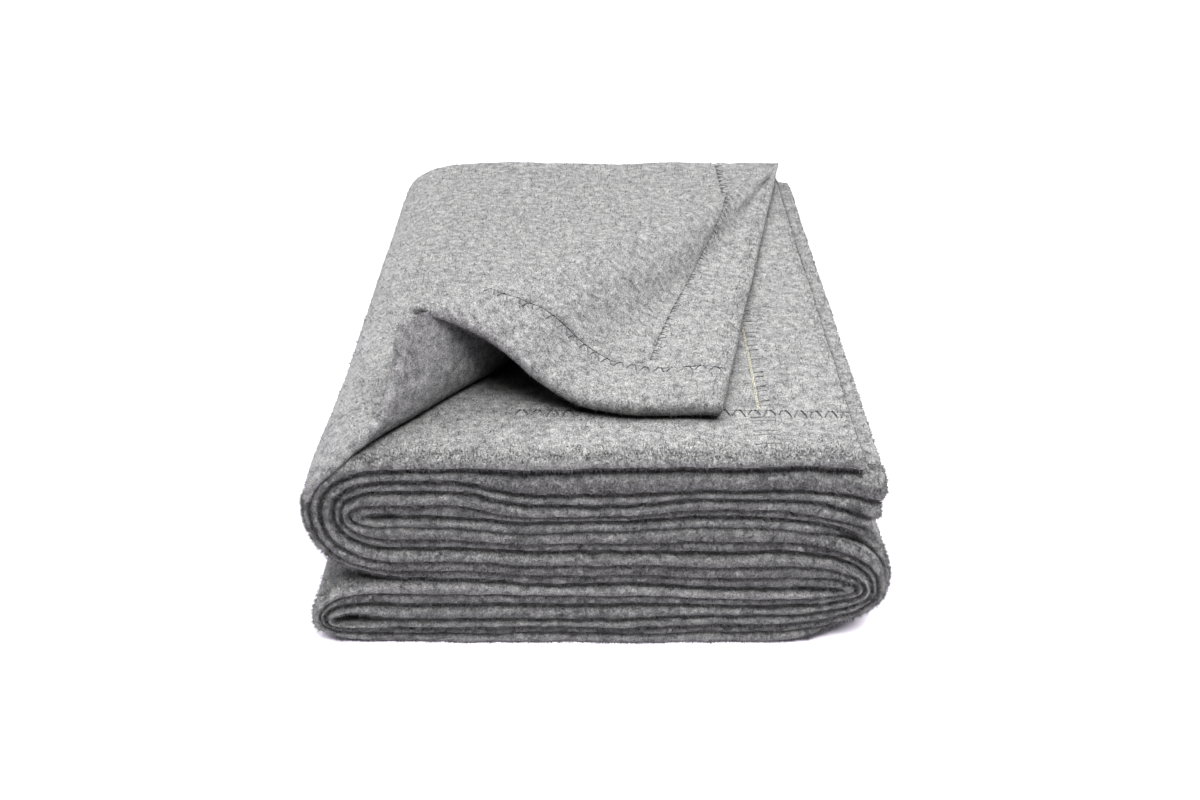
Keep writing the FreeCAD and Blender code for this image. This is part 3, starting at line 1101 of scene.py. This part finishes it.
@dataclass
class Stitching:
    """The visible rows of stitches on the second leaf and on the top leaf."""

    leaf: TopLeaf
    packets: Packets
    grey: bpy.types.Material
    pale: bpy.types.Material
    pitch: float = 9.5 * MM

    def second_surface(self, x: Array, y: Array) -> Array:
        """The second leaf's upper side, where the stitches lie."""
        z = level(17, x) + self.packets.second_leaf_relief(x, y) * 0.8
        return warp(np.stack([x, y, z], axis=-1).reshape(-1, 3)).reshape(*x.shape, 3)

    def leaf_surface(self, s: Array, y: Array) -> Array:
        """The top leaf's upper side, where the stitches lie."""
        return warp(self.leaf.surface(s, y).reshape(-1, 3)).reshape(*s.shape, 3) - np.array([0, 0, 0.4 * MM])

    def loops(self, seam: Seam, low: float, high: float, row: float, depth: float, along_x: bool) -> None:
        """Blanket stitches: a thread along the row and two legs to one side of it at each stitch.

        The legs lean to and fro, so that they look like a row of Ws.

        Args:
            seam: Where the threads go.
            low: Start of the row.
            high: End of the row.
            row: Place of the row across its length.
            depth: Length of the legs; a negative one turns them to the other side.
            along_x: Whether the row runs from left to right.
        """
        rng = np.random.default_rng(int(abs(row) * 1e5))
        line = np.linspace(low, high, int((high - low) / (1.2 * MM)))
        lay = row + 0.25 * MM * ripple(90, 0.02, line)
        seam.thread(*((line, lay) if along_x else (lay, line)), -0.55 * MM * np.ones_like(line))
        for number, place in enumerate(np.arange(low + self.pitch / 2, high, self.pitch / 2)):
            lean = 0.3 * self.pitch * (1 if number % 2 else -1) + rng.normal(0, 0.3 * MM)
            t = np.linspace(0, 1, 9)
            across = place + lean * (t - 0.5)
            inward = row - depth * t * rng.uniform(0.75, 1.05)
            dip = 0.25 * MM - 0.6 * MM * np.maximum(t - 0.8, 0) / 0.2 - 0.3 * MM * (t < 0.1)
            seam.thread(*((across, inward) if along_x else (inward, across)), dip)

    @staticmethod
    def add(seam: Seam, thread: bpy.types.Material, *nodes: str) -> None:
        """Makes a seam that rides on the upper packet and may stand for a CAD node."""
        piece = seam.build(thread)
        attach(piece, Body.UPPER.value)
        if nodes:
            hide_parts(*nodes)

    def build(self) -> None:
        """Makes the rows."""
        self.build_second_leaf()
        self.build_top_leaf()
        LOG.info("stitches")

    def build_second_leaf(self) -> None:
        """The row along the front hem with its loops, and the pale row along the right hem."""
        front, right = self.packets.front_seam, self.packets.right_seam
        end = float(corner("upper_ply_b", 1)[0])
        arch_foot, row_end = -60 * MM, 150 * MM
        seam = Seam("second_leaf_front_stitches", self.second_surface)
        self.loops(seam, arch_foot + 6 * MM, end - 3 * MM, front, 8.5 * MM, True)
        for place in (10, 15, 28, 33, 44):    # bars across the corner of the two hems
            t = np.linspace(0, 1, 12)
            y = front - place * MM + 1.2 * MM * np.sin(t * 2.6)
            seam.thread(right - 6 * MM + 15 * MM * t, y, -0.35 * MM * np.ones(12))
        self.add(seam, self.grey, "front_hem_stitches")

        seam = Seam("second_leaf_right_stitches", self.second_surface, sink=0.3 * MM, radius=0.42 * MM)
        line = np.linspace(front + 1 * MM, row_end, 240)
        for side in (-0.45, 0.45):
            seam.thread(right + MM * (side + 0.25 * np.sin(2 * math.pi * line / (4 * MM))), line)
        self.add(seam, self.pale, "right_hem_stitches")

        seam = Seam("second_leaf_right_legs", self.second_surface, radius=0.3 * MM)
        for place in np.arange(front + 5 * MM, row_end, self.packets.rib):
            t = np.linspace(0, 1, 6)
            seam.thread(right + 1.5 * MM + 6 * MM * t, place + 1.0 * MM * t, -0.3 * MM * np.ones(6))
        self.add(seam, self.grey)

    def build_top_leaf(self) -> None:
        """The rows along the front and right hems, which bend with the lifted corner."""
        leaf_front, leaf_right = -HALF_DEPTH + HEM, self.leaf.last - HEM
        seam = Seam("top_leaf_front_stitches", self.leaf_surface)
        self.loops(seam, 70 * MM, self.leaf.last - 4 * MM, leaf_front, 8 * MM, True)
        self.leaf.follow(seam.build(self.grey))
        seam = Seam("top_leaf_right_stitches", self.leaf_surface, sink=0.25 * MM)
        self.loops(seam, leaf_front + 6 * MM, HALF_DEPTH - 6 * MM, leaf_right, -7 * MM, False)
        self.leaf.follow(seam.build(self.grey))


# ---------------------------------------------------------------- studio


@dataclass(frozen=True)
class StudioSet:
    """Floor, soft lights and camera."""

    distance: float = 0.963       # camera in front of the stack's middle
    height: float = 0.566
    pitch: float = 29.0           # degrees below level
    lens: float = 43.1            # millimetres on a 36 mm sensor
    half_floor: float = 6.0
    overhead: float = 2.2         # strength of the sky straight above
    sky_from: float = 0.42        # sine of the elevation at which the sky starts to glow
    sky_to: float = 0.97          # and at which it is at its full strength

    def build(self) -> None:
        """Makes the set."""
        size = self.half_floor
        corners = np.array([[-size, -size, 0], [size, -size, 0], [size, size, 0], [-size, size, 0]])
        floor = link("studio_floor", corners, [(0, 1, 2, 3)])
        floor.data.materials.append(Studio().make())
        self.light("front_softbox", (0.45, -1.35, 1.9), (0, -0.1, 0.1), 0.9, 29)
        world = bpy.data.worlds.new("studio")
        world.use_nodes = True
        tree = world.node_tree
        sky = add_node(tree, "ShaderNodeTexCoord").outputs["Generated"]
        way = add_node(tree, "ShaderNodeSeparateXYZ", {0: sky})
        # the light comes from overhead and fades out towards the horizon
        dome = add_node(tree, "ShaderNodeMapRange",
                        {"Value": way.outputs["Z"], "From Min": self.sky_from, "From Max": self.sky_to,
                         "To Min": 0.0, "To Max": self.overhead}, interpolation_type="SMOOTHSTEP")
        tree.links.new(dome.outputs[0], tree.nodes["Background"].inputs["Strength"])
        tree.nodes["Background"].inputs["Color"].default_value = (1.0, 1.0, 1.0, 1.0)
        scene = bpy.context.scene
        scene.world = world
        scene.view_settings.view_transform = "Standard"
        scene.view_settings.look = "Very High Contrast"
        camera = bpy.data.objects.new("camera", bpy.data.cameras.new("camera"))
        camera.data.lens = self.lens
        camera.data.sensor_width = 36.0
        camera.data.clip_start = 0.01
        camera.location = (0.001, -self.distance, self.height)
        camera.rotation_euler = (math.radians(90 - self.pitch), 0, 0)
        bpy.context.collection.objects.link(camera)
        scene.camera = camera

    def light(self, name: str, place: tuple[float, float, float], target: tuple[float, float, float],
              size: float, power: float) -> None:
        """Adds a square soft light that faces a target."""
        lamp = bpy.data.lights.new(name, "AREA")
        lamp.size, lamp.energy = size, power
        holder = bpy.data.objects.new(name, lamp)
        holder.location = place
        holder.rotation_euler = (Vector(target) - Vector(place)).to_track_quat("-Z", "Y").to_euler()
        bpy.context.collection.objects.link(holder)


def main() -> None:
    """Builds the throw and the studio, in order."""
    logging.basicConfig(level=logging.INFO)
    StudioSet().build()
    fleece = Fleece().make()
    packets = Packets(fleece)
    packets.build_lower()
    packets.build_middle()
    packets.build_folds()
    packets.build_upper()
    leaf = TopLeaf(fleece)
    leaf.build()
    Stitching(leaf, packets, Thread("grey_thread", "#858586", "#5e5e60").make(),
              Thread("pale_thread", "#bdbbb0", "#96948b").make()).build()


if __name__ == "__main__":
    main()
